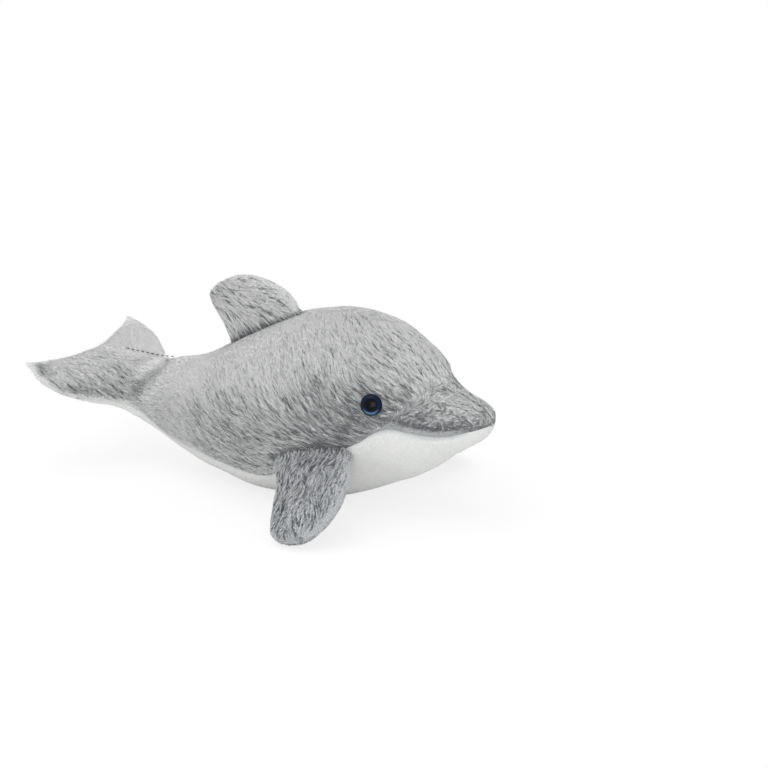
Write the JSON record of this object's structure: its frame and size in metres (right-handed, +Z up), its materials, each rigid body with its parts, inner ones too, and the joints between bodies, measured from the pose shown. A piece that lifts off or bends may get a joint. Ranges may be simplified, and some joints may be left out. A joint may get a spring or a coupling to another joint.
{
  "type": "plush dolphin",
  "caption": "Soft stuffed dolphin with short grey pile, a white underside, a curved back fin, drooping flippers, level tail flukes and glossy blue eyes",
  "frame": {"origin": "middle of the toy's footprint, on the surface that its belly rests on", "axes": "+X points from the flukes to the beak, +Y to the animal's left, +Z up"},
  "size_m": [0.2452, 0.158, 0.1046],
  "materials": {
    "grey_plush": "short brushed pile",
    "white_plush": "short smooth pile",
    "fibre": "loose fibre filling",
    "eye_plastic": "polished",
    "washer_plastic": "moulded"
  },
  "bodies": {
    "root": {"side_panel_left": "grey_plush", "side_panel_right": "grey_plush", "belly_panel": "white_plush", "body_filling": "fibre", "fin_panel_left": "grey_plush", "fin_panel_right": "grey_plush", "fin_filling": "fibre", "flipper_left_top": "grey_plush", "flipper_left_under": "grey_plush", "flipper_left_filling": "fibre", "flipper_right_top": "grey_plush", "flipper_right_under": "grey_plush", "flipper_right_filling": "fibre", "eye_left": "eye_plastic", "eye_right": "eye_plastic", "eye_washer_left": "washer_plastic", "eye_washer_right": "washer_plastic"}
  },
  "joints": []
}
